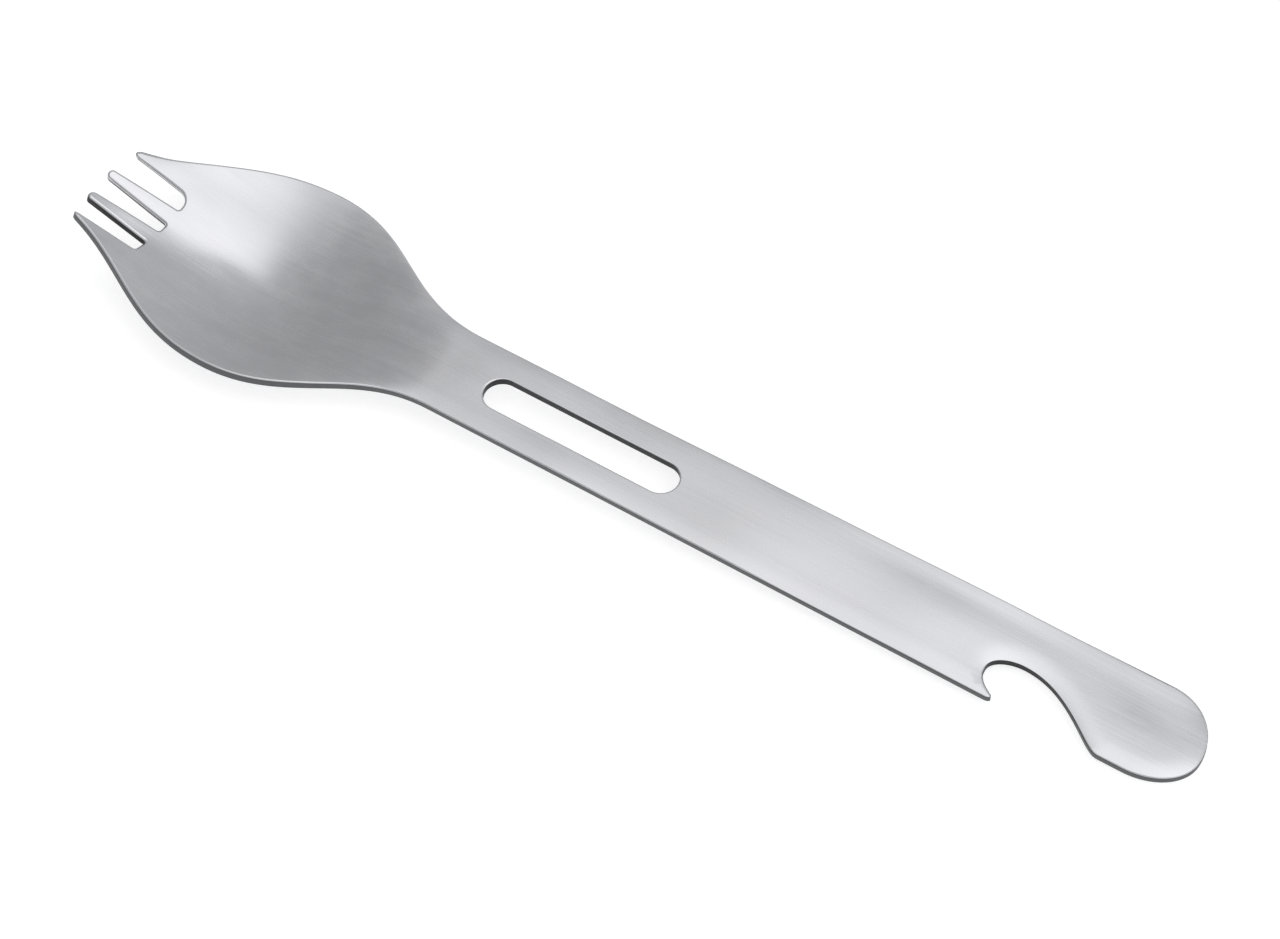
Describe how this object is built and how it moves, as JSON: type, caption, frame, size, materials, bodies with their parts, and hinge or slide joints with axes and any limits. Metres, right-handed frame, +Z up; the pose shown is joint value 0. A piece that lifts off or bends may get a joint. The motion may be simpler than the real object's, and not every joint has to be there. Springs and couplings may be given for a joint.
{
  "type": "spork",
  "caption": "One-piece pressed steel spork: shallow four-tined bowl, flat handle with a long slot, and a bottle opener cut into the edge beside its round end.",
  "frame": {"origin": "on the table below the middle of the whole spork, as it rests on the bottom of its bowl and on the round end of its handle", "axes": "+X along the spork from the tines to the round end of the handle, +Y to the far side, away from the opener, +Z up"},
  "size_m": [0.1719, 0.0334, 0.0092],
  "materials": {
    "steel": "stainless steel sheet with a fine satin finish, slightly darker on its cut edges"
  },
  "bodies": {
    "root": {"spork": "steel"}
  },
  "joints": []
}
